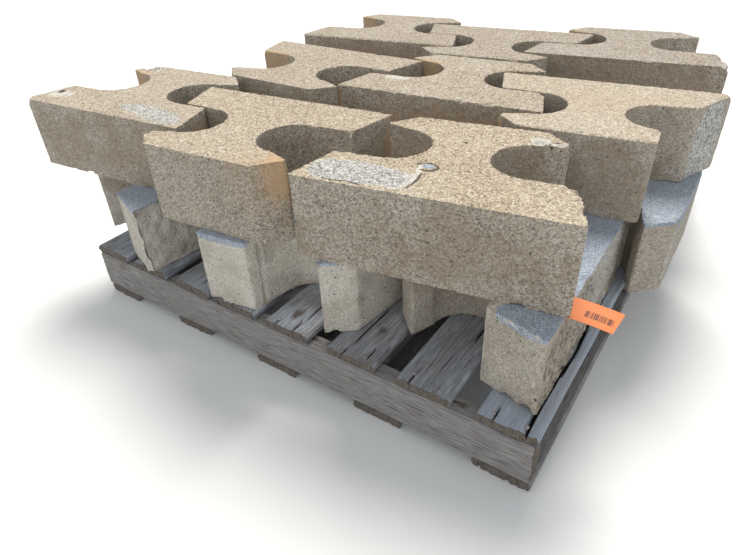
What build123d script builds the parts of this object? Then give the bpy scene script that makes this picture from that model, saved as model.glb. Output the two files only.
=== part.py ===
from build123d import *
import os
from math import cos, radians, sin, sqrt

os.makedirs("parts", exist_ok=True)

# Concrete block seen from above: a wide face with two tapered wings, a neck and a tail
face_width = 457
block_height = 152
wing_depth = 108
wing_taper = 28
neck_width = 106
slot_clearance = 20
slot_draft = 3
shoulder_width = 332
shoulder_rise = 18
tail_width = 236
tail_depth = 66
face_corner_radius = 3
wing_corner_radius = 4
tail_corner_radius = 3

slot_radius = (wing_depth + slot_clearance) / 2
slot_x = neck_width / 2 + slot_radius
slot_depth = wing_depth + slot_draft + slot_radius
block_depth = slot_depth + slot_radius + tail_depth

# The broken block has lost the ends of its left wing and its left shoulder
wing_break = 30
wing_break_start = 3
shoulder_break = 46

# Nesting: the wing of a turned block sits in the slot of the block beside it
corner_gap = 5
row_gap = 8
column_gap = 23
wing_reach = sqrt(slot_radius**2 - (wing_depth / 2) ** 2)
nest_pitch = face_width / 2 + slot_x - wing_reach + corner_gap
nest_shift = block_depth - slot_depth - wing_depth / 2
row_pitch = block_depth + nest_shift + row_gap
column_pitch = block_depth + nest_shift + column_gap
right_column_x = 362

# Pallet timber: deck boards run front to back over three stringers
board_width = 102
deck_thickness = 19
deck_length = 1219
narrow_gap = 28
narrow_gap_count = 4
wide_gap = 44
wide_gap_count = 3
stringer_width = 38
stringer_height = 89
bottom_thickness = 19
bottom_board_count = 5
board_edge_radius = 2

deck_gaps = [narrow_gap] * narrow_gap_count + [wide_gap] * wide_gap_count
pallet_width = board_width * (len(deck_gaps) + 1) + sum(deck_gaps)
deck_base = bottom_thickness + stringer_height
lower_base = deck_base + deck_thickness
upper_base = lower_base + block_height

# Card tag pinched between the layers. Its end reaches out past the corner of the front right
# block, and one of its long sides starts at that corner.
tag_length = 110
tag_width = 53
tag_thickness = 0.6
tag_reach = 66
tag_turn = 1
tag_clearance = 1

# Each row of blocks: the middle of its middle block, the row's turn, whether its end blocks
# show their face or their tail to the front, and each block's slip along the row, across it
# and its twist. The upper rows run left to right and the lower ones front to back.
upper_rows = {
    "upper_front": (-144, 8 - row_pitch, 0, "face",
                    {"left": (-30, -11, 5), "middle": (3, 13, 5), "right": (96, -8, 9)}),
    "upper_centre": (76, 2, 2, "tail",
                     {"left": (-52, 17, -3), "middle": (0, 0, 3), "right": (-1, 18, 5)}),
    "upper_back": (9, 2 + row_pitch, 7.5, "face",
                   {"left": (-3, 2, 0.5), "middle": (0, 0, 0), "right": (1, 4, 1)}),
}
lower_rows = {
    "lower_right": (right_column_x, -22, 90, "face",
                    {"front": (-2, 4, 0), "middle": (3, -1, 0), "back": (10, -4, -1)}),
    "lower_centre": (right_column_x + 33 - column_pitch, -81, 83, "tail",
                     {"front": (0, 0, 0), "middle": (5, 15, 5), "back": (29, 57, 9)}),
    "lower_left": (right_column_x + 30 - 2 * column_pitch, -65, 84, "face",
                   {"front": (0, 0, 0), "middle": (6, 4, 2), "back": (9, 6, -2)}),
}
broken_block = "upper_centre_right"
block_over_tag = "upper_front_right"


def turned(x, y, angle):
    """A point turned about the origin."""
    a = radians(angle)
    return x * cos(a) - y * sin(a), x * sin(a) + y * cos(a)


def seat(x, y, z, turn=0):
    """The level plane that a piece stands on, with its middle at x, y."""
    return Plane((x, y, z), x_dir=(*turned(1, 0, turn), 0), z_dir=(0, 0, 1))


def row_seats(rows, base):
    """The plane of every block in these rows, by the block's name. Each next block is turned
    round, and moved back so that the wings of the two lie in each other's slots."""
    seats = {}
    for row_name, (middle_x, middle_y, row_turn, end_front, slips) in rows.items():
        for index, (side, (slip_x, slip_y, twist)) in enumerate(slips.items()):
            faces_front = (end_front == "face") == (index != 1)
            x = (index - 1) * nest_pitch + slip_x
            y = slip_y if faces_front else slip_y - nest_shift
            x, y = turned(x, y, row_turn)
            turn = row_turn + twist + (0 if faces_front else 180)
            seats[f"{row_name}_{side}"] = seat(middle_x + x, middle_y + y, base, turn)
    return seats


def make_block(label, place, broken=False, tag_place=None):
    """A solid block. One is broken, and one lies on the tag, which sinks into its underside."""
    face_y = -block_depth / 2
    slot_y = face_y + slot_depth
    back_y = block_depth / 2
    wing_x = face_width / 2 - wing_taper
    wing_y = face_y + wing_depth
    shoulder_x = shoulder_width / 2
    shoulder_y = slot_y + slot_radius + shoulder_rise

    def round_corners(x, radius):
        """Rounds the two upright corners that stand nearest to x on either side."""
        uprights = block.edges().filter_by(Axis.Z)
        corners = uprights.sort_by(
            lambda edge: abs(abs(place.to_local_coords(edge.center()).X) - x)
        )
        fillet(corners[:2], radius)

    with BuildPart() as block:
        with BuildSketch(place):
            with BuildLine():
                Polyline((face_width / 2, face_y), (wing_x, wing_y),
                         (slot_x, slot_y - slot_radius))
                ThreePointArc((slot_x, slot_y - slot_radius), (neck_width / 2, slot_y),
                              (slot_x, slot_y + slot_radius))
                Polyline((slot_x, slot_y + slot_radius), (shoulder_x, shoulder_y),
                         (tail_width / 2, back_y))
                mirror(about=Plane.YZ)
                Line((-face_width / 2, face_y), (face_width / 2, face_y))
                Line((-tail_width / 2, back_y), (tail_width / 2, back_y))
            make_face()
        extrude(amount=block_height)
        round_corners(face_width / 2, face_corner_radius)
        round_corners(wing_x, wing_corner_radius)
        round_corners(shoulder_x, tail_corner_radius)
        round_corners(tail_width / 2, tail_corner_radius)
        if broken:
            left_x = -face_width / 2
            wing_end = wing_break - wing_x
            shoulder_end = shoulder_break - shoulder_x
            with BuildSketch(place):
                Polygon((left_x, face_y + wing_break_start), (wing_end, slot_y - slot_radius),
                        (wing_end, slot_y), (left_x, slot_y), align=None)
                Polygon((left_x, slot_y), (shoulder_end, slot_y), (shoulder_end, back_y),
                        (left_x, back_y), align=None)
            extrude(amount=block_height, mode=Mode.SUBTRACT)
        if tag_place:
            with BuildSketch(tag_place):
                Rectangle(tag_length + 2 * tag_clearance, tag_width + 2 * tag_clearance)
            extrude(amount=tag_thickness, mode=Mode.SUBTRACT)
    block.part.label = label
    export_step(block.part, f"parts/{label}.step")


def make_board(label, place, width, length, thickness):
    """A sawn board along the plane's Y, with its four long arrises worn round."""
    with BuildPart() as board:
        with BuildSketch(place):
            Rectangle(width, length)
        extrude(amount=thickness)
        fillet(board.edges().sort_by(SortBy.LENGTH)[-4:], board_edge_radius)
    board.part.label = label
    export_step(board.part, f"parts/{label}.step")


def make_deck():
    x = (board_width - pallet_width) / 2
    for number, gap in enumerate(deck_gaps + [0], start=1):
        make_board(f"deck_board_{number}", seat(x, 0, deck_base),
                   board_width, deck_length, deck_thickness)
        x += board_width + gap


def make_stringers():
    end_y = (deck_length - stringer_width) / 2
    for name, y in (("front", -end_y), ("centre", 0), ("back", end_y)):
        make_board(f"stringer_{name}", seat(0, y, bottom_thickness, turn=90),
                   stringer_width, pallet_width, stringer_height)


def make_bottom_boards():
    pitch = (pallet_width - board_width) / (bottom_board_count - 1)
    for index in range(bottom_board_count):
        x = index * pitch - (pallet_width - board_width) / 2
        make_board(f"bottom_board_{index + 1}", seat(x, 0, 0),
                   board_width, deck_length, bottom_thickness)


def make_tag(place):
    with BuildPart() as tag:
        with BuildSketch(place):
            Rectangle(tag_length, tag_width)
        extrude(amount=tag_thickness)
    tag.part.label = "card_tag"
    export_step(tag.part, "parts/card_tag.step")


def tag_seat(over):
    """Half way along and across the tag, set out from the foot of the corner of this block."""
    corner = over.from_local_coords((face_width / 2, -block_depth / 2, 0))
    x, y = turned(tag_reach - tag_length / 2, tag_width / 2, tag_turn)
    return seat(corner.X + x, corner.Y + y, upper_base, tag_turn)


make_bottom_boards()
make_stringers()
make_deck()

seats = row_seats(lower_rows, lower_base) | row_seats(upper_rows, upper_base)
tag_place = tag_seat(seats[block_over_tag])
make_tag(tag_place)
for name, place in seats.items():
    make_block(f"block_{name}", place, broken=name == broken_block,
               tag_place=tag_place if name == block_over_tag else None)
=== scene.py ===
from math import pi, radians

import bmesh
import bpy
import numpy as np
from mathutils import Matrix, Vector


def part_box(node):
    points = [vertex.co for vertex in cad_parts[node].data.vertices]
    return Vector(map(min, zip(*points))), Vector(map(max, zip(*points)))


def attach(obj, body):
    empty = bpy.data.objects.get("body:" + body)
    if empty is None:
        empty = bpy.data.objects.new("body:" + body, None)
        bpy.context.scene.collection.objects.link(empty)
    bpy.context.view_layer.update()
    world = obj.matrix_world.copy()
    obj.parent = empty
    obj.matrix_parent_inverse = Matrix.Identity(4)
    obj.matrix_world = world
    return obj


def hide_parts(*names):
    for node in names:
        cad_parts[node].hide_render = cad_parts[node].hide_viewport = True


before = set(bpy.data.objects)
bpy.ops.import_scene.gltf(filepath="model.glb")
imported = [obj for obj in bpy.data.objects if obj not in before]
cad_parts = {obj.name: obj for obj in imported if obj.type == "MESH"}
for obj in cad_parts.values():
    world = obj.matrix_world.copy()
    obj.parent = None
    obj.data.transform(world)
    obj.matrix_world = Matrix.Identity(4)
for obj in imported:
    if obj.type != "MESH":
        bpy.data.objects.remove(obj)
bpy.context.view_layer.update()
mm = 0.001

# Camera, in the part's own frame
image_width = 740
focal_px = 586.8
camera_place = (0.6627, -1.1961, 0.8251)
camera_heading = 35.61
camera_pitch = 35.21
camera_roll = -2.76

# Mesh spacing of the cast blocks: per metre from the camera, and where no view shows much of them
near_spacing = 3.3 * mm
hidden_spacing = 8 * mm
hidden_blocks = ("lower_left_middle", "lower_left_back", "lower_centre_middle", "lower_centre_back",
                 "lower_right_back")

# Mesh spacing of the sawn boards along the grain, across it and up
grain_step = 13 * mm
cross_step = 3.4 * mm
up_step = 4.5 * mm

# Faces that meet at more than this are shaded with a crease between them
crease_angle = radians(34)


# Repeatable noise

def hashed(ix, iy, iz, seed):
    """A fixed number from 0 to 1 for each lattice point. The large factors only mix the bits."""
    h = (ix * 73856093) ^ (iy * 19349663) ^ (iz * 83492791) ^ (seed * 2654435761)
    h &= 0xFFFFFFFF
    for _ in range(2):
        h = (((h >> 16) ^ h) * 0x45D9F3B) & 0xFFFFFFFF
    return (((h >> 16) ^ h) & 0xFFFFFF) / 0xFFFFFF


def noise(points, size, seed=0):
    """Smooth noise from -1 to 1 with features of about this size. Size may differ by axis."""
    lattice = points / np.asarray(size)
    whole = np.floor(lattice).astype(np.int64)
    part = lattice - whole
    part = part * part * (3 - 2 * part)
    total = 0
    for dx in (0, 1):
        for dy in (0, 1):
            for dz in (0, 1):
                weight = abs(1 - dx - part[:, 0]) * abs(1 - dy - part[:, 1]) * abs(1 - dz - part[:, 2])
                total += weight * hashed(whole[:, 0] + dx, whole[:, 1] + dy, whole[:, 2] + dz, seed)
    return total * 2 - 1


def fractal(points, size, octaves, seed=0):
    """Noise with finer and fainter octaves on top."""
    size = np.asarray(size, dtype=float)
    total, reach = 0, 0
    for octave in range(octaves):
        share = 0.5**octave
        total += share * noise(points, size * share, seed + 17 * octave)
        reach += share
    return total / reach


def cells(points, size, seed=0):
    """Distance to the nearest of a set of scattered points, in cells, and its own number."""
    lattice = points / size
    whole = np.floor(lattice).astype(np.int64)
    nearest = np.full(len(points), 9.0)
    number = np.zeros(len(points))
    for dx in (-1, 0, 1):
        for dy in (-1, 0, 1):
            for dz in (-1, 0, 1):
                cell = whole + (dx, dy, dz)
                spot = np.stack([hashed(*cell.T, seed + k) for k in (1, 2, 3)], axis=1)
                distance = np.linalg.norm(cell + spot - lattice, axis=1)
                closer = distance < nearest
                nearest = np.where(closer, distance, nearest)
                number = np.where(closer, hashed(*cell.T, seed + 4), number)
    return nearest, number


def ramp(value, low, high):
    """0 below low, 1 above high, and smooth between."""
    t = np.clip((value - low) / (high - low), 0, 1)
    return t * t * (3 - 2 * t)


# Shader helpers

def new_material(name):
    material = bpy.data.materials.new(name)
    material.use_nodes = True
    tree = material.node_tree
    return material, tree, tree.nodes["Principled BSDF"]


def add_node(tree, kind, inputs=(), **settings):
    """A node with its properties set, and its inputs set to a value or linked to a socket."""
    made = tree.nodes.new("ShaderNode" + kind)
    for key, value in settings.items():
        setattr(made, key, value)
    for key, value in dict(inputs).items():
        if isinstance(value, bpy.types.NodeSocket):
            tree.links.new(value, made.inputs[key])
        else:
            made.inputs[key].default_value = value
    return made


def math_node(tree, operation, a, b=0.0):
    return add_node(tree, "Math", {0: a, 1: b}, operation=operation).outputs[0]


def scaled(tree, value, factor):
    return math_node(tree, "MULTIPLY", value, factor)


def mix_colour(tree, share, a, b, blend="MIX"):
    made = add_node(tree, "Mix", data_type="RGBA", blend_type=blend)
    for socket, value in ((made.inputs[0], share), (made.inputs[6], a), (made.inputs[7], b)):
        if isinstance(value, bpy.types.NodeSocket):
            tree.links.new(value, socket)
        else:
            socket.default_value = value if isinstance(value, float) else (*value, 1)
    return made.outputs[2]


def colour_ramp(tree, share, stops):
    made = add_node(tree, "ValToRGB", {0: share})
    elements = made.color_ramp.elements
    while len(elements) < len(stops):
        elements.new(0.5)
    for element, (place, colour) in zip(elements, stops):
        element.position = place
        element.color = (*colour, 1)
    return made.outputs[0]


def value_ramp(tree, share, low, high):
    """A grey ramp from 0 at low to 1 at high."""
    made = add_node(tree, "MapRange", {0: share, 1: low, 2: high})
    made.interpolation_type = "SMOOTHSTEP"
    return made.outputs[0]


def texture_noise(tree, coordinates, scale, detail=3.0, roughness=0.55):
    made = add_node(tree, "TexNoise", {"Vector": coordinates, "Scale": scale,
                                                 "Detail": detail, "Roughness": roughness})
    return made.outputs[0]


def voronoi(tree, coordinates, scale):
    """The distance to the nearest of scattered cells, and that cell's three numbers."""
    made = add_node(tree, "TexVoronoi", {"Vector": coordinates, "Scale": scale})
    numbers = add_node(tree, "SeparateColor", {0: made.outputs["Color"]})
    return made.outputs["Distance"], numbers.outputs


def attribute(tree, name):
    return add_node(tree, "Attribute", attribute_name=name).outputs["Fac"]


def object_place(tree):
    return add_node(tree, "TexCoord").outputs["Object"]


def set_surface(tree, shader, colour, roughness, specular=0.5):
    tree.links.new(colour, shader.inputs["Base Color"])
    shader.inputs["Roughness"].default_value = roughness
    shader.inputs["Specular IOR Level"].default_value = specular


def set_bump(tree, shader, height, strength, distance):
    bump = add_node(tree, "Bump", {"Height": height, "Strength": strength,
                                             "Distance": distance})
    tree.links.new(bump.outputs[0], shader.inputs["Normal"])


# Concrete: how many grains, stones and pores to the metre
grain_scale = 460.0
stone_scale = 270.0
pore_scale = 120.0

# Its colours. A pair is the darkest and the lightest of a kind.
grain_stops = [
    (0.0, (0.12, 0.09, 0.065)), (0.14, (0.27, 0.205, 0.145)), (0.38, (0.45, 0.365, 0.26)),
    (0.64, (0.60, 0.50, 0.37)), (0.84, (0.78, 0.69, 0.54)), (1.0, (0.93, 0.89, 0.80))]
stone_stops = [
    (0.0, (0.10, 0.075, 0.055)), (0.22, (0.24, 0.175, 0.12)), (0.5, (0.50, 0.385, 0.25)),
    (0.75, (0.66, 0.50, 0.32)), (1.0, (0.86, 0.80, 0.68))]
paste_stops = [(0.32, (0.43, 0.345, 0.25)), (0.5, (0.53, 0.445, 0.335)), (0.68, (0.62, 0.55, 0.44))]
chilled_tint = (0.82, 0.85, 0.97)
# Damp, and painted shade on the slot walls, in grooves and on the back rows' shaded fronts
damp_and_shade_colour = (0.27, 0.205, 0.145)
# Painted shade inside the open pores
pore_shade_colour = (0.08, 0.06, 0.045)
# Soot, and painted shade in chips, pits and beside ridges
soot_and_shade_colour = (0.085, 0.072, 0.060)
# Pale grains, mixed in as a paler tone and as painted light on shaded lower faces
pale_and_lit_pair = (0.62, 0.58, 0.50), (0.96, 0.92, 0.84)
# Grey cement: pale grains, with near-black ones as painted shade between them
cement_stone_and_shade_pair = (0.07, 0.07, 0.07), (0.96, 0.94, 0.89)
cement_grain_and_shade_pair = (0.07, 0.07, 0.07), (0.96, 0.94, 0.91)
# Grey cement, tinted blue as painted sky-lit shade
slate_and_sky_shade_pair = (0.24, 0.285, 0.36), (0.54, 0.61, 0.72)
lime_pair = (0.50, 0.48, 0.43), (0.90, 0.87, 0.81)
# Rust, and painted bounce light on slot walls that face sunlit concrete
rust_and_bounce_pair = (0.54, 0.345, 0.185), (0.72, 0.485, 0.285)

# Smears, each over the ones before it: the levels at which it starts to show and is full, and how
# much it covers
smear_levels = {
    "cement": (0.42, 0.60, 0.92), "slate_and_sky_shade": (0.42, 0.58, 0.92), "lime": (0.45, 0.62, 0.85),
    "rust_and_bounce": (0.10, 1.25, 0.85), "soot_and_shade": (0.45, 0.75, 0.9)}


def grain_colour(tree, place, side, grains, stones):
    """Fine crushed grains with larger stones among them, in a tan paste."""
    grain = colour_ramp(tree, grains[0], grain_stops)
    stone = colour_ramp(tree, stones[1], stone_stops)
    is_stone = value_ramp(tree, stones[0], 0.60, 0.64)
    colour = mix_colour(tree, scaled(tree, is_stone, 0.7), grain, stone)
    paste = colour_ramp(tree, texture_noise(tree, place, 8.0, 4.0), paste_stops)
    paste_share = math_node(tree, "ADD", scaled(tree, side, 0.06), 0.28)
    return mix_colour(tree, paste_share, colour, paste)


def weathered_and_shaded(tree, colour, place, side, grains):
    """Side faces are greyer than the tops, which the weather has washed, and darker as painted shade.
    Damp patches and painted shade darken them further.
    """
    # Sides greyer from weathering, and darker as painted shade
    dull_and_shaded = add_node(tree, "HueSaturation", {"Saturation": 0.74, "Value": 0.86, "Color": colour})
    colour = mix_colour(tree, side, colour, dull_and_shaded.outputs[0])
    chill = scaled(tree, attribute(tree, "chill"), math_node(tree, "SUBTRACT", 1.0, side))
    colour = mix_colour(tree, chill, colour, chilled_tint, "MULTIPLY")
    # Paler tone, and painted light on shaded lower faces
    pale_and_lit = scaled(tree, attribute(tree, "pale_and_lit"), 0.5)
    colour = mix_colour(tree, pale_and_lit, colour, mix_colour(tree, grains[1], *pale_and_lit_pair))
    # Random damp patches on the sides, plus painted shade where the damp smears lie
    damp_and_shade = math_node(tree, "ADD", texture_noise(tree, place, 13.0, 5.0, 0.65),
                     scaled(tree, attribute(tree, "damp_and_shade"), 0.16))
    damp_and_shade = scaled(tree, value_ramp(tree, damp_and_shade, 0.44, 0.70), side)
    return mix_colour(tree, scaled(tree, damp_and_shade, 0.48), colour, damp_and_shade_colour)


def pore_share(tree, place):
    """1 in the sparse open pores, and 0 around them."""
    distance, numbers = voronoi(tree, place, pore_scale)
    reach = scaled(tree, value_ramp(tree, numbers[0], 0.55, 1.0), 0.24)
    return value_ramp(tree, math_node(tree, "SUBTRACT", reach, distance), 0.0, 0.06)


def smeared(tree, colour, place, ragged, grains, stones):
    """Mixes each smear in where its attribute and a ragged noise together pass its level."""
    cement = mix_colour(tree, 0.45, mix_colour(tree, stones[2], *cement_stone_and_shade_pair),
                        mix_colour(tree, grains[2], *cement_grain_and_shade_pair))
    tints = {"cement": cement,
             "slate_and_sky_shade": mix_colour(tree, grains[2], *slate_and_sky_shade_pair),
             "lime": mix_colour(tree, grains[2], *lime_pair),
             "rust_and_bounce": mix_colour(tree, texture_noise(tree, place, 22.0), *rust_and_bounce_pair),
             "soot_and_shade": soot_and_shade_colour}
    fringe = scaled(tree, math_node(tree, "SUBTRACT", ragged, 0.5), 1.1)
    for kind, (low, high, cover) in smear_levels.items():
        amount = math_node(tree, "ADD", attribute(tree, kind), fringe)
        amount = scaled(tree, value_ramp(tree, amount, low, high), cover)
        colour = mix_colour(tree, amount, colour, tints[kind])
    return colour


def concrete_material():
    """Tan concrete of fine crushed grains, with smears of grey cement, rust and lime, and with painted
    shade, painted bounce light and painted light on it.
    """
    material, tree, shader = new_material("concrete")
    place = object_place(tree)
    normal = add_node(tree, "NewGeometry").outputs["Normal"]
    upward = add_node(tree, "SeparateXYZ", {0: normal}).outputs["Z"]
    side = value_ramp(tree, upward, 0.75, 0.25)
    grain_distance, grains = voronoi(tree, place, grain_scale)
    stone_distance, stones = voronoi(tree, place, stone_scale)
    ragged = texture_noise(tree, place, 75.0, 5.0, 0.7)
    pore = pore_share(tree, place)

    colour = grain_colour(tree, place, side, grains, stones)
    colour = weathered_and_shaded(tree, colour, place, side, grains)
    # Painted shade inside the open pores
    colour = mix_colour(tree, scaled(tree, pore, 0.65), colour, pore_shade_colour)
    colour = smeared(tree, colour, place, ragged, grains, stones)

    height = scaled(tree, grain_distance, -1.0)
    for value, factor in ((stone_distance, -1.0), (ragged, 0.9), (pore, -1.5)):
        height = math_node(tree, "ADD", height, scaled(tree, value, factor))
    set_bump(tree, shader, height, strength=1.0, distance=1.2 * mm)
    set_surface(tree, shader, colour, roughness=0.93, specular=0.25)
    return material


# Timber: its grain is drawn out this much along the board
grain_stretch = 0.045
silver_grain_stops = [(0.28, (0.070, 0.072, 0.078)), (0.42, (0.255, 0.268, 0.30)),
                      (0.54, (0.42, 0.45, 0.51)), (0.72, (0.66, 0.71, 0.79))]
brown_and_shaded_grain_stops = [(0.30, (0.10, 0.084, 0.072)), (0.50, (0.27, 0.240, 0.208)),
                     (0.72, (0.44, 0.405, 0.36))]
end_grain_stops = [(0.30, (0.07, 0.055, 0.045)), (0.70, (0.24, 0.21, 0.18))]
silver_colour = (0.46, 0.53, 0.64)
band_colour = (0.33, 0.345, 0.365)
# Painted shade inside cracks
crack_shade_colour = (0.020, 0.016, 0.013)
knot_colour = (0.075, 0.048, 0.030)


def timber_material():
    """Softwood that the weather has greyed, with its grain along the board."""
    material, tree, shader = new_material("timber")
    drawn_out = scaled(tree, attribute(tree, "along"), grain_stretch)
    place = add_node(tree, "CombineXYZ", {0: drawn_out, 1: attribute(tree, "across"),
                                                    2: attribute(tree, "board")}).outputs[0]
    grain = texture_noise(tree, place, 520.0, 5.0, 0.7)
    bands = texture_noise(tree, place, 110.0)
    patches = texture_noise(tree, object_place(tree), 9.0, 4.0)

    patched = scaled(tree, value_ramp(tree, patches, 0.45, 0.65), 0.6)
    # Brown weathering in patches and by board, with painted shade on the stringers and bottom boards
    browned_and_shaded = math_node(tree, "MAXIMUM", attribute(tree, "browned_and_shaded"), patched)
    colour = mix_colour(tree, browned_and_shaded, colour_ramp(tree, grain, silver_grain_stops),
                        colour_ramp(tree, grain, brown_and_shaded_grain_stops))
    colour = mix_colour(tree, attribute(tree, "silvered"), colour, silver_colour)
    banded = scaled(tree, value_ramp(tree, bands, 0.48, 0.70), 0.40)
    colour = mix_colour(tree, banded, colour, band_colour)
    end_grain = colour_ramp(tree, grain, end_grain_stops)
    colour = mix_colour(tree, attribute(tree, "sawn_end"), colour, end_grain)
    cracked = value_ramp(tree, attribute(tree, "crack"), 0.3, 0.8)
    # Painted shade inside cracks and hairlines
    colour = mix_colour(tree, cracked, colour, crack_shade_colour)
    colour = mix_colour(tree, scaled(tree, attribute(tree, "knot"), 0.8), colour, knot_colour)

    height = math_node(tree, "ADD", grain, scaled(tree, bands, 0.5))
    set_bump(tree, shader, height, strength=0.9, distance=1.6 * mm)
    set_surface(tree, shader, colour, roughness=0.85, specular=0.3)
    return material


# Nails: bright and rusty steel
steel_pair = (0.55, 0.55, 0.54), (0.24, 0.13, 0.07)


def nail_material():
    material, tree, shader = new_material("nail_steel")
    wear = texture_noise(tree, object_place(tree), 600.0)
    colour = mix_colour(tree, value_ramp(tree, wear, 0.42, 0.62), *steel_pair)
    shader.inputs["Metallic"].default_value = 0.4
    set_surface(tree, shader, colour, roughness=0.5)
    return material


# Tag: its colours, and the part of it that the bars cover, in metres along and across it from
# its inner left corner
card_pair = (0.74, 0.205, 0.065), (0.83, 0.285, 0.11)
bar_colour = (0.03, 0.022, 0.03)
bar_scale = 620.0
bars_along = (0.057, 0.099)
bars_across = (0.0148, 0.0305)


def tag_material():
    """Orange card with a row of plain dark bars."""
    material, tree, shader = new_material("tag_card")
    along = attribute(tree, "along")
    across = attribute(tree, "across")
    colour = mix_colour(tree, texture_noise(tree, object_place(tree), 45.0), *card_pair)
    stripe = add_node(tree, "TexNoise", {"W": along, "Scale": bar_scale, "Detail": 0.0},
                      noise_dimensions="1D").outputs[0]
    bars = math_node(tree, "GREATER_THAN", stripe, 0.47)
    for value, (low, high) in ((along, bars_along), (across, bars_across)):
        bars = scaled(tree, bars, math_node(tree, "GREATER_THAN", value, low))
        bars = scaled(tree, bars, math_node(tree, "LESS_THAN", value, high))
    colour = mix_colour(tree, scaled(tree, bars, 0.85), colour, bar_colour)
    set_surface(tree, shader, colour, roughness=0.5, specular=0.2)
    return material


# Floor: as it is seen, and in the light that it throws back at the object
floor_seen = (0.93, 0.93, 0.925)
floor_bounced = (0.58, 0.58, 0.58)


def seen_share(tree):
    """1 for the rays that show the surface itself, and 0 for those that only light others."""
    rays = add_node(tree, "LightPath").outputs
    seen = math_node(tree, "MAXIMUM", rays["Is Camera Ray"], rays["Is Glossy Ray"])
    return math_node(tree, "MAXIMUM", seen, rays["Is Transmission Ray"])


def floor_material():
    material, tree, shader = new_material("floor")
    colour = mix_colour(tree, seen_share(tree), floor_bounced, floor_seen)
    set_surface(tree, shader, colour, roughness=0.9)
    return material


# Mesh helpers

def add_object(name, data):
    made = bpy.data.objects.new(name, data)
    bpy.context.scene.collection.objects.link(made)
    return made


def finish_piece(name, points, faces, material, node=None, attributes=()):
    """Makes the mesh object, and gives it its material and its part in the frame."""
    mesh = bpy.data.meshes.new(name)
    mesh.from_pydata(points.tolist(), [], faces)
    mesh.update()
    mesh.shade_smooth()
    mesh.set_sharp_from_angle(angle=crease_angle)
    for key, values in dict(attributes).items():
        layer = mesh.attributes.new(key, "FLOAT", "POINT")
        layer.data.foreach_set("value", np.asarray(values, dtype=np.float32))
    mesh.materials.append(material)
    piece = add_object(name, mesh)
    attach(piece, "root")
    if node:
        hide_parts(node)


def node_mesh(node):
    """The solid's mesh with its corners joined."""
    bm = bmesh.new()
    bm.from_mesh(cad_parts[node].data)
    bmesh.ops.remove_doubles(bm, verts=bm.verts, dist=1e-6)
    bm.normal_update()
    return bm


def block_frame(bm):
    """The block's own frame, found from the longest level arris, which its wide face has."""
    best, outward = None, None
    for edge in bm.edges:
        normals = [face.normal for face in edge.link_faces]
        if max(n.z for n in normals) < 0.99 or abs(normals[0].z * normals[1].z) > 0.1:
            continue
        if best is None or edge.calc_length() > best.calc_length():
            best = edge
            outward = min(normals, key=lambda n: abs(n.z))
    middle = (best.verts[0].co + best.verts[1].co) / 2
    inward = -outward.normalized()
    foot = min(v.co.z for v in bm.verts)
    sideways = Vector((inward.y, -inward.x, 0))
    turn = Matrix((sideways, inward, Vector((0, 0, 1)))).transposed()
    return Matrix.Translation((middle.x, middle.y, foot)) @ turn.to_4x4()


def read_vectors(items, key, count, kind=float):
    """One property of many mesh items, as rows of this many numbers."""
    flat = np.empty(len(items) * count, dtype=kind)
    items.foreach_get(key, flat)
    return flat.reshape(-1, count)


def even_mesh(bm, to_world, spacing):
    """The solid in its own frame, remade as an even skin of small four-sided faces."""
    bmesh.ops.transform(bm, matrix=to_world.inverted(), verts=bm.verts)
    mesh = bpy.data.meshes.new("skin")
    bm.to_mesh(mesh)
    holder = add_object("skin", mesh)
    remesh = holder.modifiers.new("remesh", "REMESH")
    remesh.mode = "VOXEL"
    remesh.voxel_size = spacing
    ready = holder.evaluated_get(bpy.context.evaluated_depsgraph_get()).to_mesh()
    points = read_vectors(ready.vertices, "co", 3)
    normals = read_vectors(ready.vertices, "normal", 3)
    faces = [tuple(p.vertices) for p in ready.polygons]
    edges = read_vectors(ready.edges, "vertices", 2, np.int64)
    bpy.data.objects.remove(holder)
    bpy.data.meshes.remove(mesh)
    return points, normals, faces, edges


def spread(values, edges, rounds):
    """Averages values with their neighbours' a number of times."""
    flat = values.copy()
    count = np.bincount(edges.ravel(), minlength=len(flat)) + 1.0
    for _ in range(rounds):
        total = flat.copy()
        for column in range(flat.shape[1]):
            total[:, column] += np.bincount(edges[:, 0], flat[edges[:, 1], column], len(flat))
            total[:, column] += np.bincount(edges[:, 1], flat[edges[:, 0], column], len(flat))
        flat = total / count[:, None]
    return flat


def ring_faces(rows, ring, start=0):
    """The faces between rings of points that lie in a row."""
    faces = []
    for row in range(rows):
        a = start + row * ring
        for k in range(ring):
            n = (k + 1) % ring
            faces.append((a + k, a + n, a + ring + n, a + ring + k))
    return faces


def grid_faces(rows, columns, start):
    """The faces of a grid of points."""
    at = start + np.arange((rows + 1) * (columns + 1)).reshape(rows + 1, columns + 1)
    corners = [at[:-1, :-1], at[1:, :-1], at[1:, 1:], at[:-1, 1:]]
    return np.stack(corners, axis=2).reshape(-1, 4).tolist()


def away_from_line(points, line):
    """Distance from each point to a line of straight runs."""
    nearest = np.full(len(points), np.inf)
    for start, end in zip(line, line[1:]):
        start, run = np.array(start, dtype=float), np.subtract(end, start)
        share = np.clip((points - start) @ run / (run @ run), 0, 1)
        nearest = np.minimum(nearest, np.linalg.norm(points - start - share[:, None] * run, axis=1))
    return nearest


def depth_inside(points, outline):
    """How far each point lies inside a closed outline seen from above, and below zero outside it."""
    x, y = points[:, 0], points[:, 1]
    inside = np.zeros(len(points), dtype=bool)
    for (x1, y1), (x2, y2) in zip(outline, outline[1:] + outline[:1]):
        if y1 != y2:
            inside ^= ((y1 > y) != (y2 > y)) & (x < x1 + (x2 - x1) * (y - y1) / (y2 - y1))
    edge = away_from_line(points[:, :2], outline + outline[:1])
    return np.where(inside, edge, -edge)


# Blocks. Places are in each block's own frame, in mm: X along its wide face, Y from that face
# into the block, and Z up from its foot.

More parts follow.
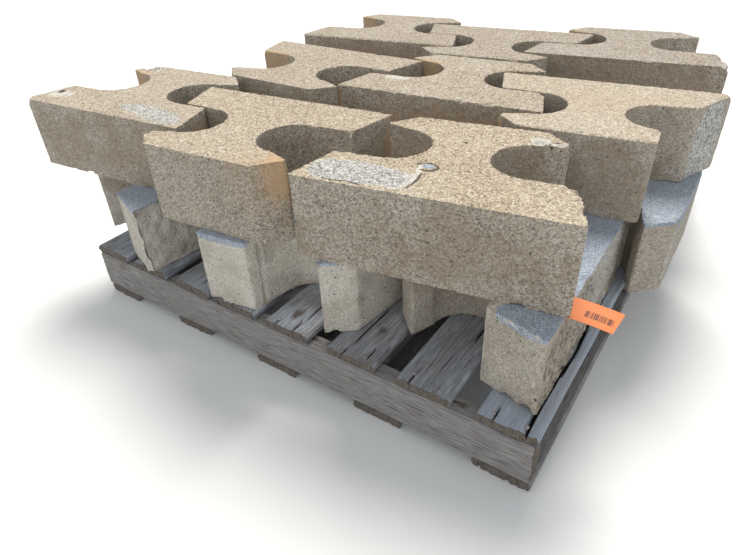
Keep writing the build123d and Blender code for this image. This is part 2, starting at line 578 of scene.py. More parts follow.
block_top = 152
arris_width = 9 * mm

# Sizes of what roughens the skin
wave_size = 55 * mm
grain_size = 7 * mm
split_size = 18 * mm
pit_size = 15 * mm
worn_size = 9 * mm
nick_size = 30 * mm
patch_grain_size = 8 * mm

# Knocked-off places: where, how far each reaches and how deep it goes
chips = {
    "upper_front_right": [
        ((-46, 116, 152), 11, 4), ((73, 6, 152), 13, 4), ((86, 8, 152), 8, 3), ((205, 96, 152), 15, 6),
        ((190, 109, 150), 11, 4), ((221, 40, 150), 16, 3), ((112, 252, 152), 12, 4),
        ((148, 252, 152), 13, 5), ((163, 258, 148), 10, 5), ((35, 109, 152), 5, 3),
        ((-4, 217, 152), 7, 2), ((42, 0, 90), 6, 3), ((45, 0, 52), 6, 3),
        ((-228, 0, 60), 12, 3), ((150, 0, 0), 15, 3), ((126, 247, 150), 9, 4)],
    "upper_front_middle": [
        ((-198, 108, 152), 9, 4), ((160, 262, 152), 12, 4), ((-120, 305, 152), 10, 3),
        ((20, 305, 152), 12, 2)],
    "upper_front_left": [
        ((-193, 68, 152), 11, 8), ((-140, 284, 152), 15, 4), ((-226, 2, 150), 12, 4),
        ((60, 0, 152), 12, 3), ((-80, 0, 0), 14, 4), ((100, 0, 0), 14, 3)],
    "upper_centre_left": [((200, 108, 152), 10, 4), ((-100, 0, 152), 12, 3)],
    "upper_centre_middle": [
        ((35, 137, 152), 9, 2), ((203, 106, 152), 11, 5), ((-90, 0, 152), 14, 3), ((120, 0, 152), 14, 3),
        ((228, 2, 140), 12, 4), ((60, 0, 152), 9, 3)],
    "upper_centre_right": [
        ((-225, 4, 152), 12, 5), ((-172, 108, 150), 11, 4), ((-120, 236, 152), 12, 5),
        ((164, 264, 152), 14, 4), ((-120, 300, 30), 14, 4), ((0, 305, 152), 12, 2)],
    "upper_back_left": [((228, 0, 152), 12, 5), ((-60, 0, 152), 15, 3)],
    "upper_back_middle": [((30, 305, 152), 14, 4), ((-90, 305, 152), 12, 4), ((118, 303, 150), 14, 5)],
    "upper_back_right": [((226, 4, 152), 18, 7), ((212, 60, 152), 12, 5), ((60, 0, 152), 14, 3)],
    "lower_right_front": [
        ((-228, 0, 95), 16, 4), ((-227, 2, 32), 14, 5), ((-228, 0, 130), 14, 4), ((-214, 55, 0), 15, 4),
        ((-222, 20, 0), 15, 5), ((-60, 0, 150), 18, 4)],
    "lower_centre_front": [
        ((166, 262, 145), 11, 4), ((150, 275, 0), 12, 3), ((120, 303, 20), 12, 3), ((222, 20, 0), 15, 4),
        ((140, 285, 120), 7, 4)],
    "lower_left_front": [
        ((-228, 0, 20), 26, 9), ((-226, 0, 80), 20, 5), ((-228, 0, 125), 14, 4), ((-214, 40, 0), 14, 4)],
    "lower_right_middle": [((0, 305, 0), 18, 4), ((110, 303, 150), 15, 4)],
}

# Strokes on the skin: what, how far it stands out or sinks in, its half width and where it runs
strokes = {
    "upper_front_right": [
        ("lime", 2.6, 5.6, [(-60, 12, 152), (-48, 14, 152), (-41, 24, 152), (-37, 38, 152),
                            (-35, 53, 152), (-37, 77, 152), (-42, 102, 152)]),
        # These soot strokes are painted shade beside the ridge and round the raised lumps
        ("soot_and_shade", -0.9, 3.4, [(-35, 22, 152), (-31, 38, 152), (-29, 55, 152), (-31, 74, 152)]),
        ("soot_and_shade", -0.5, 3.2, [(-170, 9, 152), (-146, 8, 152), (-128, 12, 152), (-106, 7, 152)]),
        ("slate_and_sky_shade", 2.6, 9.0, [(-34, 103, 152), (-26, 102, 152)]),
        ("soot_and_shade", -1.4, 4.2, [(-48, 104, 152), (-40, 115, 152), (-22, 114, 152), (-13, 104, 152),
                             (-20, 90, 152), (-36, 88, 152)]),
        ("lime", 2.4, 7.0, [(100, 266, 152), (114, 270, 152), (126, 262, 152)]),
        ("lime", 2.0, 5.0, [(134, 254, 152), (146, 253, 152), (156, 262, 152)]),
        ("soot_and_shade", -2.5, 2.6, [(112, 250, 152), (126, 249, 152), (134, 260, 152), (146, 268, 152)])],
    "upper_centre_middle": [("soot_and_shade", -0.8, 3.0, [(-150, 150, 152), (-128, 146, 152), (-110, 152, 152)])],
    "lower_centre_front": [("lime", 2.6, 5.6, [(163, 110, 152), (166, 110, 0)]),
                           # A groove with painted shade in it
                           ("damp_and_shade", -1.8, 4.6, [(171, 110, 150), (174, 110, 4)])],
}

# Skins left on the top: what, how strong, and its outline. The other lower blocks have a skin of
# slate grey all over, part grey cement and part painted sky-lit shade.
skins = {
    "upper_front_right": (
        "cement", 1, [(-212, 48), (-207, 66), (-190, 77), (-140, 84), (-94, 80), (-60, 70), (-42, 66),
                      (-37, 52), (-37, 36), (-45, 20), (-60, 13), (-78, 15), (-114, 9), (-152, 10),
                      (-184, 7), (-205, 18)]),
    "upper_front_left": (
        "cement", 0.66, [(8, 48), (30, 66), (60, 78), (110, 74), (150, 66), (185, 52), (212, 28),
                         (205, 6), (172, 4), (128, 12), (82, 24), (40, 34)]),
    "lower_right_front": (
        "slate_and_sky_shade", 1, [(-238, -14), (-225, 24), (-215, 62), (-208, 90), (-192, 94), (-176, 84),
                     (-158, 96), (-150, 118), (120, 118), (240, 118), (240, -14)]),
}

# Smears: what, how strong, its middle and its reach along each axis. The soft kinds fade further
# out, and add up. Rust on the slot walls is painted bounce light, damp on the slot walls and on the
# back rows' fronts is painted shade, soot in chips and pits is painted shade, and pale on the lower
# blocks is painted light.
smear_kinds = (*smear_levels, "damp_and_shade", "pale_and_lit")
soft_kinds = ("rust_and_bounce", "damp_and_shade", "pale_and_lit")
smears = {
    "upper_front_right": [
        ("soot_and_shade", 1, (-46, 114, 149), (8, 5, 8)), ("lime", 0.9, (112, 262, 152), (17, 12, 7)),
        ("lime", 0.8, (142, 252, 152), (11, 4, 5)), ("soot_and_shade", 1, (126, 247, 149), (12, 3, 6)),
        ("lime", 0.45, (-100, 273, 152), (26, 8, 4)), ("lime", 0.36, (196, 46, 152), (44, 56, 6)),
        ("lime", 0.34, (-130, 82, 152), (60, 14, 5)),
        ("soot_and_shade", 1, (35, 109, 151), (3, 3, 4)), ("soot_and_shade", 1, (-4, 217, 151), (5, 3, 4)),
        ("soot_and_shade", 1, (80, 5, 149), (7, 3, 3)), ("soot_and_shade", 1, (42, 0, 90), (2.6, 5, 2.6)),
        ("soot_and_shade", 1, (45, 0, 52), (3, 5, 2.6)), ("soot_and_shade", 1, (60, 0, 77), (2, 5, 2)),
        ("soot_and_shade", 1, (44, 0, 27), (2, 5, 2.2)), ("soot_and_shade", 1, (82, 0, 134), (2.6, 5, 2)),
        ("soot_and_shade", 1, (-206, 0, 124), (2, 5, 2.4)), ("soot_and_shade", 1, (5, 0, 99), (2, 5, 2)),
        ("rust_and_bounce", 0.5, (-110, 200, 76), (70, 76, 76)), ("damp_and_shade", 1.3, (110, 175, 70), (60, 70, 110)),
        ("damp_and_shade", 1, (70, 0, 70), (130, 6, 62)), ("damp_and_shade", -0.8, (-150, 0, 120), (90, 6, 40))],
    "upper_front_middle": [
        ("rust_and_bounce", 0.65, (-166, 262, 136), (38, 42, 50)), ("rust_and_bounce", 0.4, (-142, 284, 124), (84, 60, 80)),
        ("lime", 1, (-198, 109, 146), (3, 3, 8)), ("rust_and_bounce", 0.6, (-227, 8, 90), (6, 18, 76)),
        ("rust_and_bounce", 0.5, (200, 90, 76), (30, 40, 66))],
    "upper_front_left": [
        ("cement", 0.6, (140, 240, 152), (46, 10, 5)), ("soot_and_shade", 0.62, (-134, 282, 152), (34, 16, 6)),
        ("cement", 1, (-122, 286, 152), (34, 18, 6)), ("soot_and_shade", 1, (-193, 68, 148), (10, 10, 9)),
        ("lime", 0.6, (-176, 56, 152), (40, 28, 5)), ("rust_and_bounce", 0.8, (-140, 240, 90), (52, 34, 90)),
        ("damp_and_shade", 0.7, (-140, 240, 90), (60, 40, 100)), ("damp_and_shade", 0.7, (0, 0, 60), (230, 10, 100)),
        ("rust_and_bounce", 0.7, (215, 80, 80), (20, 40, 66)), ("rust_and_bounce", 0.55, (130, 190, 76), (60, 60, 66))],
    "upper_centre_left": [
        ("rust_and_bounce", 0.75, (160, 112, 90), (66, 30, 90)), ("rust_and_bounce", 0.5, (-130, 180, 76), (70, 70, 76)),
        ("damp_and_shade", 0.5, (0, 305, 70), (120, 20, 90)), ("damp_and_shade", 1, (160, 112, 80), (70, 40, 100)),
        ("lime", 0.33, (30, 250, 152), (60, 14, 4))],
    "upper_centre_middle": [
        ("lime", 0.44, (20, 240, 152), (80, 60, 5)), ("lime", 0.8, (-126, 97, 152), (34, 12, 5)),
        ("rust_and_bounce", 0.75, (-120, 232, 90), (60, 36, 90)), ("rust_and_bounce", 0.8, (-226, 10, 80), (10, 34, 90)),
        ("damp_and_shade", 0.8, (60, 0, 60), (190, 8, 90)), ("damp_and_shade", 0.9, (-120, 232, 80), (64, 40, 100)),
        ("soot_and_shade", 1, (206, 100, 149), (6, 4, 6)), ("rust_and_bounce", 0.5, (40, 0, 60), (220, 8, 90)),
        ("rust_and_bounce", 0.6, (150, 180, 70), (50, 50, 66))],
    "upper_centre_right": [
        ("rust_and_bounce", 0.35, (-40, 130, 152), (160, 80, 6)), ("cement", 1, (-200, 56, 70), (27, 58, 84)),
        ("lime", 0.44, (-200, 56, 90), (27, 58, 66)), ("lime", 0.5, (-120, 262, 90), (4, 36, 70)),
        ("rust_and_bounce", 0.9, (162, 278, 134), (12, 22, 16)), ("rust_and_bounce", 0.5, (228, 4, 110), (8, 16, 36)),
        ("rust_and_bounce", 1, (-192, 104, 90), (7, 12, 70)), ("damp_and_shade", 1, (140, 270, 76), (60, 50, 90)),
        ("damp_and_shade", 1, (0, 305, 76), (130, 20, 90)), ("damp_and_shade", 0.8, (-110, 175, 60), (64, 76, 90))],
    "upper_back_left": [
        ("rust_and_bounce", 0.7, (-140, 240, 90), (52, 34, 90)), ("rust_and_bounce", 0.6, (130, 180, 76), (60, 60, 76)),
        ("rust_and_bounce", 0.35, (0, 0, 76), (230, 10, 90)), ("damp_and_shade", 0.8, (0, 0, 60), (230, 10, 90)),
        ("damp_and_shade", 1, (-140, 240, 80), (60, 40, 100))],
    "upper_back_middle": [
        ("lime", 0.35, (-60, 298, 152), (56, 8, 4)), ("rust_and_bounce", 0.5, (-150, 180, 76), (60, 60, 66)),
        ("rust_and_bounce", 0.5, (30, 305, 110), (60, 10, 30))],
    "upper_back_right": [
        ("rust_and_bounce", 0.7, (-140, 242, 90), (50, 30, 80)), ("damp_and_shade", 1.3, (0, 0, 60), (230, 10, 100)),
        ("rust_and_bounce", 0.25, (0, 0, 70), (230, 10, 90)), ("damp_and_shade", 0.9, (-140, 242, 80), (56, 36, 100)),
        ("lime", 0.7, (222, 10, 150), (14, 14, 6))],
    "lower_right_front": [
        ("lime", 0.5, (-216, 50, 147), (14, 60, 5)), ("lime", 1, (-199, 109, 76), (3, 4, 84)),
        ("cement", 0.5, (90, 0, 80), (150, 8, 100)), ("slate_and_sky_shade", 0.36, (90, 0, 80), (150, 8, 100)),
        ("slate_and_sky_shade", 0.8, (-214, 46, 151), (24, 46, 14)), ("lime", 0.40, (-223, 16, 80), (12, 22, 84)),
        ("soot_and_shade", 0.55, (-90, 0, 60), (150, 8, 90)), ("soot_and_shade", 1, (-226, 6, 30), (3, 4, 3.5)),
        ("soot_and_shade", 1, (-227, 3, 96), (3, 4, 3))],
    "lower_centre_front": [
        ("slate_and_sky_shade", 0.8, (214, 60, 147), (24, 70, 9)), ("pale_and_lit", 0.6, (120, 150, 76), (90, 80, 110)),
        ("lime", 0.45, (212, 60, 140), (20, 60, 8)), ("soot_and_shade", 1, (146, 280, 122), (3, 3, 3))],
    "lower_left_front": [
        ("soot_and_shade", 1, (-210, 70, 58), (5, 2, 16)), ("pale_and_lit", 0.6, (-60, 0, 76), (180, 12, 110))],
    "lower_right_middle": [
        ("slate_and_sky_shade", 0.6, (20, 305, 134), (110, 10, 18)), ("lime", 0.6, (118, 303, 80), (4, 4, 70)),
        ("cement", 0.42, (0, 300, 70), (180, 60, 90)), ("lime", 0.40, (0, 230, 152), (200, 110, 6))],
}

# How grey and cool a block is beside the warmest of them
chills = {"upper_front_left": 0.3, "upper_front_middle": 0.1, "upper_centre_left": 0.4,
          "upper_centre_middle": 0.4, "upper_back_left": 0.6, "upper_back_middle": 0.7,
          "upper_back_right": 0.85}

# How pale a block is: partly a paler tone, and partly painted light on faces in shade. The rest of the
# lower layer is paler than the upper one, as painted light.
pale_and_lit_shares = {"upper_front_left": 0.1, "upper_centre_right": 0.25, "lower_right_front": 0.5,
         "lower_right_middle": 0.3, "lower_centre_front": 1.35, "lower_left_front": 1.25}
lower_pale_and_lit = 1.1

# How rough the wide face is, in mm, of the blocks on which it was split coarsely, and of the rest
split_faces = {"lower_left_front": 6.5, "lower_right_front": 4.5, "upper_back_right": 3.5,
               "upper_centre_middle": 2.0, "upper_centre_left": 1.5}
cast_roughness = 0.6


def block_spacing(node):
    """How close the points of a block's mesh lie: the nearer to the camera, the closer."""
    if node.removeprefix("block_") in hidden_blocks:
        return hidden_spacing
    low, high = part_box(node)
    return near_spacing * (low.lerp(high, 0.5) - Vector(camera_place)).length


def cast_relief(name, at, seeded, normals, arris, side):
    """How deep the skin lies, in mm: waves, grains, split faces, pits and worn arrises."""
    depth = 0.35 * (1 + fractal(seeded, wave_size, 3, 5)) * (0.5 + side) - 0.7 * side
    distance, number = cells(seeded, grain_size, 11)
    depth += (0.8 - 0.35 * side) * ramp(distance, 0.15, 0.75) * (0.4 + number)
    wide_face = ramp(-normals[:, 1], 0.6, 0.9) * ramp(-at[:, 1], -14, -5)
    roughness = split_faces.get(name, cast_roughness)
    depth += wide_face * roughness * (1 + fractal(seeded, split_size, 2, 23))
    distance, number = cells(seeded, pit_size, 31)
    depth += side * (number < 0.3) * 1.6 * ramp(-distance, -0.42, -0.1) * (0.4 + number * 2)
    depth += arris * 1.4 * ramp(fractal(seeded, worn_size, 2, 41), 0.0, 0.7)
    distance, number = cells(seeded, nick_size, 53)
    depth += arris * (number < 0.14) * 3 * ramp(-distance, -0.42, -0.05)
    for middle, reach, cut in chips.get(name, ()):
        away = np.linalg.norm(at - middle, axis=1) / reach
        away += 0.35 * fractal(seeded, 0.6 * reach * mm, 3, 67)
        depth += cut * ramp(-away, -1.0, -0.3)
    return depth


def block_layers(name, at, arris):
    """How strong each kind of smear is at each point."""
    layers = {kind: np.zeros(len(at)) for kind in smear_kinds}
    for kind, strength, middle, reach in smears.get(name, ()):
        away = (np.abs((at - middle) / reach) ** 3).sum(1) ** (1 / 3)
        if kind in soft_kinds:
            layers[kind] += strength * ramp(-away, -1.35, -0.55)
        else:
            layers[kind] = np.maximum(layers[kind], strength * ramp(-away, -1.2, -0.7))
    is_lower = name.startswith("lower")
    if name in skins:
        kind, strength, outline = skins[name]
        skin = strength * ramp(depth_inside(at, outline), -5, 5)
        skin *= ramp(at[:, 2], block_top - 12, block_top - 4)
        layers[kind] = np.maximum(layers[kind], skin)
    elif is_lower:
        # Blue-grey tops: grey cement, tinted blue as painted sky-lit shade
        layers["slate_and_sky_shade"] = np.maximum(layers["slate_and_sky_shade"], ramp(at[:, 2], block_top - 12, block_top))
    layers["chill"] = np.full(len(at), chills.get(name, 0.0))
    layers["pale_and_lit"] += pale_and_lit_shares.get(name, lower_pale_and_lit if is_lower else 0.0)
    layers["lime"] = np.maximum(layers["lime"], 0.28 * arris)
    return layers


def draw_strokes(name, at, layers):
    """Adds the strokes to the layers, and gives how far they raise the skin, in mm."""
    raised = np.zeros(len(at))
    for kind, rise, half_width, line in strokes.get(name, ()):
        stroke = ramp(-away_from_line(at, line), -1.1 * half_width, -0.25 * half_width)
        raised += stroke * rise
        layers[kind] = np.maximum(layers[kind], stroke)
    return raised


def arris_rise(normals, depth, spacing):
    """How far the level arrises are pushed out where they are whole, in mm. The even skin cuts
    across them."""
    upright = np.clip(abs(normals[:, 2]), 0, 1)
    bevel = ramp(np.minimum(upright, np.sqrt(1 - upright**2)), 0.2, 0.6)
    return 0.3 * spacing / mm * bevel * ramp(-depth, -2.5, -1.0)


def make_block(node, material, seed):
    name = node.removeprefix("block_")
    bm = node_mesh(node)
    to_world = block_frame(bm)
    spacing = block_spacing(node)
    points, normals, faces, edges = even_mesh(bm, to_world, spacing)
    corners = np.array([vertex.co for vertex in bm.verts])
    bm.free()

    at = points / mm
    seeded = points + seed * np.array([1.37, 0.71, 2.13])
    smooth = spread(points, edges, int((arris_width / spacing) ** 2))
    arris = ramp(((points - smooth) * normals).sum(1), 0.5 * mm, 2.6 * mm)
    side = 1 - ramp(abs(normals[:, 2]), 0.5, 0.8)
    layers = block_layers(name, at, arris)
    depth = cast_relief(name, at, seeded, normals, arris, side)
    depth += layers["cement"] * (0.8 * fractal(seeded, patch_grain_size, 2, 71) - 0.4)
    depth -= draw_strokes(name, at, layers)
    depth = np.maximum(depth, -0.5 * side)
    depth -= arris_rise(normals, depth, spacing)

    points = np.clip(points - normals * depth[:, None] * mm, corners.min(0), corners.max(0))
    world = np.array(to_world)
    points = points @ world[:3, :3].T + world[:3, 3]
    finish_piece(f"{node}_cast", points, faces, material, node, layers)


# Timber. Places are in mm, along the board from the middle of the pallet and across it from its
# own middle.

edge_width = 3 * mm

# Long cracks: start, end, place across, half width, depth
cracks = {
    "deck_board_1": [(-640, -380, 12, 1.6, 4)],
    "deck_board_2": [(-640, -420, -18, 1.6, 4)],
    "deck_board_3": [(-640, -470, 20, 1.6, 4)],
    "deck_board_4": [(-640, -440, -8, 2, 5), (400, 640, 20, 2, 5)],
    "deck_board_5": [(-640, -480, 16, 2, 5), (-640, -520, -26, 1.6, 4)],
    "deck_board_6": [(-640, -430, -14, 2, 5), (-640, -520, 30, 1.6, 4)],
    "deck_board_7": [(-640, -500, -28, 1.8, 5), (-620, -440, 1, 2.2, 6), (-520, -300, 22, 1.5, 4)],
    "deck_board_8": [(-700, -180, 30, 4.5, 15), (-640, -540, -22, 2, 6), (100, 640, 10, 2, 5)],
    "stringer_front": [(-420, -120, 0, 1.5, 3), (180, 430, 4, 1.5, 3)],
}

# How brown or silver the weather has left a board. On the stringers and bottom boards, which lie under
# the deck, the brown is also painted shade.
browned_and_shaded = {"stringer_front": 0.75, "stringer_centre": 0.8, "stringer_back": 0.75,
           "deck_board_6": 0.35, "deck_board_7": 0.2}
browned_and_shaded |= {f"bottom_board_{number}": 0.8 for number in range(1, 6)}
silvered = {"deck_board_8": 0.55}

# Knots: place along, place across, reach
knots = {
    "deck_board_2": [(-480, 10, 12)],
    "deck_board_5": [(-560, -6, 13), (300, 20, 11)],
    "deck_board_6": [(-520, 14, 10)],
    "deck_board_7": [(-350, 20, 10)],
    "stringer_front": [(401, 3, 8), (-210, 0, 10), (90, 4, 9)],
    "stringer_back": [(250, 3, 9), (-330, 0, 10)],
}


def board_section(across_count, up_count):
    """The section's points round the board, each from -0.5 to 0.5 across and up."""
    level = np.linspace(-0.5, 0.5, across_count + 1)
    upright = np.linspace(-0.5, 0.5, up_count + 1)
    across = [level[:-1], np.full(up_count, 0.5), level[:0:-1], np.full(up_count, -0.5)]
    up = [np.full(across_count, -0.5), upright[:-1], np.full(across_count, 0.5), upright[:0:-1]]
    return np.concatenate(across), np.concatenate(up)


def crack_layer(node, points, seed):
    """How cracked each point of a board is, and how deep its cracks go in mm."""
    along, across, up = points.T
    crack, depth = np.zeros(len(points)), np.zeros(len(points))
    wander = noise(points * (1, 0, 0), 130 * mm, seed + 9) * 4
    for start, end, place, wide, deep in cracks.get(node, ()):
        inside = ramp(along / mm, start, start + 30) * ramp(-along / mm, -end, 60 - end)
        near = ramp(-abs(across / mm - place - wander), -wide, -wide * 0.3) * (up > 0)
        crack = np.maximum(crack, inside * near)
        depth += inside * near * deep

    # Hairlines run down the sides as they do on the faces, so they follow the girth of the board
    girth = np.stack([along, across + 2.3 * up, 0 * up], axis=1)
    hairline = ramp(noise(girth, (160 * mm, 4.5 * mm, 1), seed + 13), 0.74, 0.95)
    return np.maximum(crack, 0.7 * hairline), depth + 1.3 * hairline


def knot_layer(node, points):
    """How knotty each point of a board is, and how far its knots stand out in mm."""
    knot, raised = np.zeros(len(points)), np.zeros(len(points))
    for place, beside, reach in knots.get(node, ()):
        away = np.hypot((points[:, 0] / mm - place) / (reach * 1.5), (points[:, 1] / mm - beside) / reach)
        knot = np.maximum(knot, ramp(-away, -1, -0.5))
        raised += 0.6 * ramp(-away, -1.6, -0.6)
    return knot, raised


def wear_board(node, points, size, seed):
    """Moves the points in by worn grain, cracks and ragged ends. Gives the cracks and knots."""
    length, width, thick = size
    along, across, up = points.T.copy()
    out_across = ramp(abs(across), width / 2 - edge_width, width / 2) * np.sign(across)
    out_up = ramp(abs(up), thick / 2 - edge_width, thick / 2) * np.sign(up)
    corner = np.abs(out_across * out_up)
    seeded = points + np.array([0, 0, seed * 0.317])
    crack, cut = crack_layer(node, points, seed)
    knot, raised = knot_layer(node, points)
    relief = 0.45 * (1 + fractal(seeded, (240 * mm, 7 * mm, 9 * mm), 3, seed))
    relief += 0.5 * (1 + noise(seeded, (90 * mm, 45 * mm, 45 * mm), seed + 3))
    relief += corner * (1.0 + 1.6 * (1 + fractal(seeded, (60 * mm, 30 * mm, 30 * mm), 2, seed + 7)))
    relief = np.clip(relief + cut - raised, 0, thick * 0.85 / mm) * mm
    points[:, 1] -= out_across * np.minimum(relief, 5 * mm) * 0.8
    points[:, 2] -= out_up * relief

    # Ends: fibres stand to different lengths
    end = ramp(abs(along), length / 2 - 40 * mm, length / 2)
    fibres = np.stack([0 * along, across, up], axis=1)
    short = 2 + noise(fibres, (1, 5 * mm, 7 * mm), seed + 21)
    short += noise(fibres, (1, 22 * mm, 40 * mm), seed + 25)
    points[:, 0] -= np.sign(along) * end * (short * 1.6 + 7 * crack) * mm
    return crack, knot


def end_cap(rim, across_count, up_count):
    """A grid of points over a board's end, between the underside and the top of its section."""
    below = rim[:across_count + 1, None]
    above = rim[across_count + up_count:2 * across_count + up_count + 1][::-1, None]
    grid = below + (above - below) * np.linspace(0, 1, up_count + 1)[:, None]
    grid[0] = rim[-np.arange(up_count + 1)]
    grid[-1] = rim[across_count:across_count + up_count + 1]
    return grid.reshape(-1, 3)


def board_sides(size, along_count, across_count, up_count):
    """The points of a board's four sides, ring by ring."""
    along = np.linspace(-0.5, 0.5, along_count + 1)
    across, up = (np.tile(values, along_count + 1) for values in board_section(across_count, up_count))
    return np.stack([np.repeat(along, len(up) // len(along)), across, up], axis=1) * size


def board_faces(along_count, across_count, up_count):
    """The faces of a board's sides and of its two ends."""
    ring = 2 * (across_count + up_count)
    first_end = (along_count + 1) * ring
    second_end = first_end + (across_count + 1) * (up_count + 1)
    faces = ring_faces(along_count, ring)
    faces += [face[::-1] for face in grid_faces(across_count, up_count, first_end)]
    return faces + grid_faces(across_count, up_count, second_end)


def board_layers(node, sides, caps, crack, knot, seed):
    """What the timber reads at each point of the sides, and then of the ends."""
    bare = np.zeros(len(caps))
    count = len(sides) + len(caps)
    return {"along": np.concatenate([sides[:, 0], caps[:, 2] * 4]),
            "across": np.concatenate([sides[:, 1] + sides[:, 2] * 0.7, caps[:, 1] * 0.6]),
            "sawn_end": np.concatenate([np.zeros(len(sides)), bare + 1]),
            "crack": np.concatenate([crack, bare]),
            "knot": np.concatenate([knot, bare]),
            "board": np.full(count, seed * 0.731),
            "browned_and_shaded": np.full(count, browned_and_shaded.get(node, 0.0)),
            "silvered": np.full(count, silvered.get(node, 0.0))}


def make_board(node, material, seed):
    """A sawn board over the solid's box. It is made with its length along X."""
    low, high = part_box(node)
    long_axis = 0 if high.x - low.x > high.y - low.y else 1
    order = [long_axis, 1 - long_axis, 2]
    size = np.array(high - low)[order]
    counts = (size / (grain_step, cross_step, up_step)).astype(int)
    ring = 2 * (counts[1] + counts[2])

    sides = board_sides(size, *counts)
    crack, knot = wear_board(node, sides, size, seed)
    caps = np.vstack([end_cap(rim, *counts[1:]) for rim in (sides[:ring], sides[-ring:])])
    faces = board_faces(*counts)
    if long_axis == 0:
        faces = [face[::-1] for face in faces]

    world = np.empty((len(sides) + len(caps), 3))
    world[:, order] = np.vstack([sides, caps])
    world += np.array((low + high) / 2)
    layers = board_layers(node, sides, caps, crack, knot, seed)
    finish_piece(f"{node}_sawn", world, faces, material, node, layers)


# Nails: two heads in each deck board over each stringer. A head's rings are given by their
# height over the board, in mm, and their share of its reach.
nail_reach = 3.4 * mm
nail_inset = 24 * mm
nail_scatter = 16
nail_sides = 14
nail_rings = ((-2.0, 1.0), (-0.6, 1.0), (-0.2, 0.8))


def nail_head(x, y, z):
    """The points of a nail head, ring by ring from its underside."""
    points = []
    for height, share in nail_rings:
        for k in range(nail_sides):
            angle = 2 * pi * k / nail_sides
            points.append((x + share * nail_reach * np.cos(angle),
                           y + share * nail_reach * np.sin(angle), z + height * mm))
    return points


def make_nails(material):
    points, faces = [], []
    for node in (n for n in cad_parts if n.startswith("deck_board")):
        low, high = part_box(node)
        for stringer in ("front", "centre", "back"):
            stringer_low, stringer_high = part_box(f"stringer_{stringer}")
            y = (stringer_low.y + stringer_high.y) / 2
            for number, x in enumerate((low.x + nail_inset, high.x - nail_inset)):
                shift = (hashed(int(x / mm) + number, int(y / mm), 0, 3) - 0.5) * nail_scatter
                start = len(points)
                points += nail_head(x, y + shift * mm, high.z)
                faces += ring_faces(len(nail_rings) - 1, nail_sides, start)
                faces.append(tuple(range(len(points) - nail_sides, len(points))))
                faces.append(tuple(range(start + nail_sides - 1, start - 1, -1)))
    finish_piece("nail_heads", np.array(points), faces, material)


# Tag: its turn in degrees, how far its free end droops and ripples, how far it ends short of the
# solid at its two far corners, and the heights of its two sides
tag_turn = 1
tag_droop = 5 * mm
tag_ripple = 0.4 * mm
tag_short = (6.5 * mm, 2 * mm)
tag_sides = (0.1 * mm, 0.5 * mm)
tag_rows = 26
tag_columns = 12


def card_size(size, turn):
    """The length and width of a turned card, from the size of the box round it."""
    sine, cosine = np.sin(turn), np.cos(turn)
    spread_out = cosine**2 - sine**2
    return (size.x * cosine - size.y * sine) / spread_out, (size.y * cosine - size.x * sine) / spread_out


def grid_rim(rows, columns):
    """The points round the edge of a grid, in order."""
    at = np.arange((rows + 1) * (columns + 1)).reshape(rows + 1, columns + 1)
    return [*at[:, 0], *at[-1, 1:], *at[-2::-1, -1], *at[0, -2:0:-1]]


def make_tag(material):
    """A thin card that lies on the block below it and droops past that block's face."""
    low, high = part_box("card_tag")
    turn = radians(tag_turn)
    length, width = card_size(high - low, turn)
    middle = (low + high) / 2
    block_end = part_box("block_lower_right_front")[1].x

    row, column = np.divmod(np.arange((tag_rows + 1) * (tag_columns + 1)), tag_columns + 1)
    short = tag_short[0] + (tag_short[1] - tag_short[0]) * column / tag_columns
    along = (length - short) * row / tag_rows
    across = width * column / tag_columns
    u, v = along - length / 2, across - width / 2
    x = middle.x + u * np.cos(turn) - v * np.sin(turn)
    y = middle.y + u * np.sin(turn) + v * np.cos(turn)
    past = np.maximum(0.0, (x - block_end) / (high.x - block_end))
    z = low.z - tag_droop * past**2 - tag_ripple * past * np.cos(9 * v / width)
    points = np.vstack([np.stack([x, y, z + lift], axis=1) for lift in tag_sides])

    count = len(row)
    faces = [(a, d, c, b) for a, b, c, d in grid_faces(tag_rows, tag_columns, 0)]
    faces += grid_faces(tag_rows, tag_columns, count)
    rim = [int(k) for k in grid_rim(tag_rows, tag_columns)]
    for a, b in zip(rim, rim[1:] + rim[:1]):
        faces.append((a, b, count + b, count + a))
    finish_piece("card_tag_sheet", points, faces, material, "card_tag",
                 {"along": np.tile(along, 2), "across": np.tile(across, 2)})


# Lights, floor and camera. The sky has one strength as light and another as it is seen.

floor_reach = 30
sky_light = 0.50
sky_seen = 1.0
sky_tint = (0.92, 0.97, 1.0)
white = (1.0, 1.0, 1.0)
sensor_width = 36


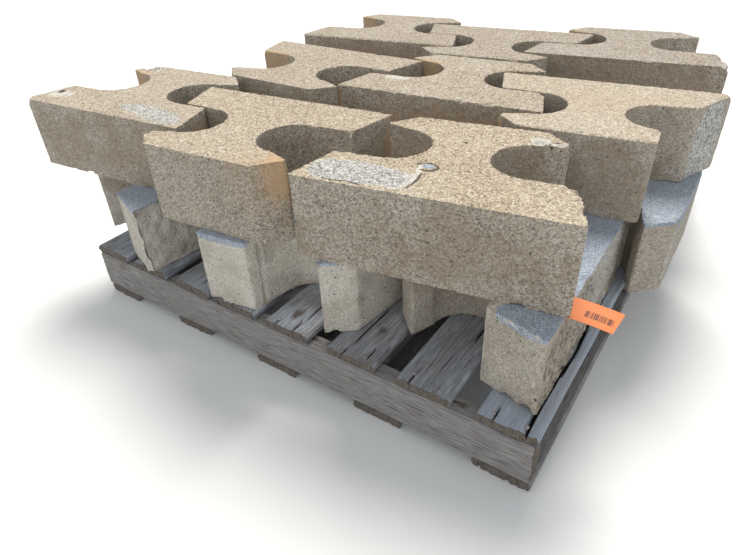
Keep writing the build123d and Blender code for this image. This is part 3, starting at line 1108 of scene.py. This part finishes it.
def add_sun(name, place, strength, spread_angle, colour):
    """A distant lamp that shines from this direction on to the object."""
    lamp = bpy.data.lights.new(name, "SUN")
    lamp.energy = strength
    lamp.angle = radians(spread_angle)
    lamp.color = colour
    thing = add_object(name, lamp)
    thing.location = place
    thing.rotation_euler = (-Vector(place)).to_track_quat("-Z", "Y").to_euler()


def make_floor():
    mesh = bpy.data.meshes.new("floor")
    low, high = -floor_reach, floor_reach
    corners = [(low, low, 0), (high, low, 0), (high, high, 0), (low, high, 0)]
    mesh.from_pydata(corners, [], [(0, 1, 2, 3)])
    mesh.materials.append(floor_material())
    add_object("floor", mesh)


def make_sky():
    world = bpy.data.worlds.new("world")
    world.use_nodes = True
    tree = world.node_tree
    sky = tree.nodes["Background"]
    seen = seen_share(tree)
    strength = add_node(tree, "MapRange", {0: seen, 3: sky_light, 4: sky_seen}).outputs[0]
    tree.links.new(strength, sky.inputs["Strength"])
    tree.links.new(mix_colour(tree, seen, sky_tint, white), sky.inputs["Color"])
    bpy.context.scene.world = world


def make_camera():
    camera = bpy.data.cameras.new("camera")
    camera.sensor_width = sensor_width
    camera.lens = sensor_width * focal_px / image_width
    thing = add_object("camera", camera)
    thing.matrix_world = (Matrix.Translation(camera_place)
                          @ Matrix.Rotation(radians(camera_heading), 4, "Z")
                          @ Matrix.Rotation(radians(90 - camera_pitch), 4, "X")
                          @ Matrix.Rotation(radians(camera_roll), 4, "Z"))
    bpy.context.scene.camera = thing


make_camera()
make_floor()
make_sky()
add_sun("key", (-1.0, 2.1, 3.2), strength=3.3, spread_angle=30, colour=(1.0, 0.965, 0.90))
add_sun("fill", (0.6, -2.4, 0.7), strength=0.62, spread_angle=70, colour=white)

concrete = concrete_material()
timber = timber_material()
names = sorted(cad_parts)
for number, node in enumerate(n for n in names if n.startswith("block_")):
    make_block(node, concrete, number + 1)
for number, node in enumerate(n for n in names if "board" in n or "stringer" in n):
    make_board(node, timber, number + 1)
make_nails(nail_material())
make_tag(tag_material())

bpy.context.scene.view_settings.view_transform = "Standard"
